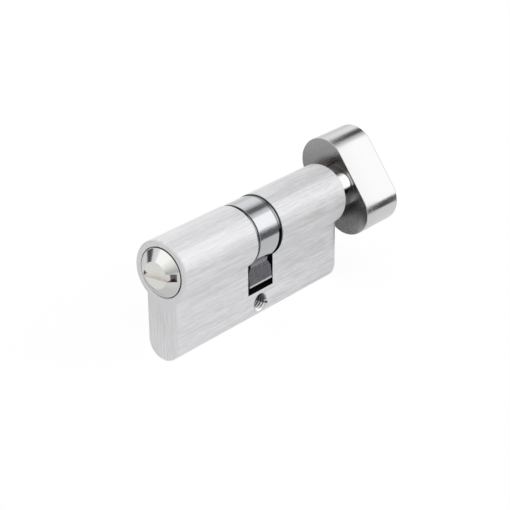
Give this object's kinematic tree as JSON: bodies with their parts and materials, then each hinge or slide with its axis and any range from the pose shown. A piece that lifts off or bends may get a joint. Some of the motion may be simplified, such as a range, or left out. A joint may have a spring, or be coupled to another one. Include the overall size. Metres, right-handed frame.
{
  "type": "euro profile cylinder",
  "caption": "Euro profile lock cylinder for a privacy door, with a coin release plug outside, an oval thumb turn inside and a cam with a tongue in the middle slot.",
  "frame": {"origin": "centre of the fixing hole, in the middle of the web's thickness", "axes": "+X along the rotors from the coin end to the thumb turn, +Y along the fixing hole, +Z towards the round head"},
  "size_m": [0.0872, 0.0228, 0.0376],
  "materials": {
    "brushed_nickel": "satin nickel plate on brass, brushed lengthways",
    "polished_nickel": "polished nickel plate on brass",
    "satin_chrome": "fine satin plate on brass",
    "sintered_steel": "sintered steel, ring polished, tongue dull",
    "spring_steel": "oiled spring steel",
    "bearing_steel": "polished bearing steel",
    "black_steel": "blackened steel",
    "plain_brass": "turned brass",
    "black_rubber": "moulded rubber"
  },
  "bodies": {
    "housing": {"cylinder_body": "brushed_nickel", "detent_spring": "spring_steel", "detent_plug": "plain_brass"},
    "turn": {"thumb_turn": "satin_chrome", "turn_spindle": "polished_nickel", "turn_circlip": "spring_steel", "turn_o_ring": "black_rubber", "grub_screw": "black_steel"},
    "cam": {"cam": "sintered_steel", "drive_bar": "sintered_steel"},
    "plug": {"coin_plug": "polished_nickel", "coin_circlip": "spring_steel"},
    "detent": {"detent_ball": "bearing_steel"}
  },
  "joints": [
    {"name": "turn_spin", "type": "hinge", "parent": "housing", "child": "turn", "pos_m": [0, 0, 0.0192], "axis": [1, 0, 0], "continuous": true},
    {"name": "cam_spin", "type": "hinge", "parent": "housing", "child": "cam", "pos_m": [0, 0, 0.0192], "axis": [1, 0, 0], "continuous": true},
    {"name": "plug_spin", "type": "hinge", "parent": "housing", "child": "plug", "pos_m": [0, 0, 0.0192], "axis": [1, 0, 0], "continuous": true},
    {"name": "detent_travel", "type": "slide", "parent": "housing", "child": "detent", "axis": [0, 0, 1], "range_m": [-0.0006, 0], "stiffness_N_per_m": 500, "springref_m": 0.002, "deforming": ["detent_spring"]}
  ],
  "couplings": [
    {"joint": "cam_spin", "follows": "turn_spin", "ratio": 1},
    {"joint": "plug_spin", "follows": "turn_spin", "ratio": 1}
  ]
}
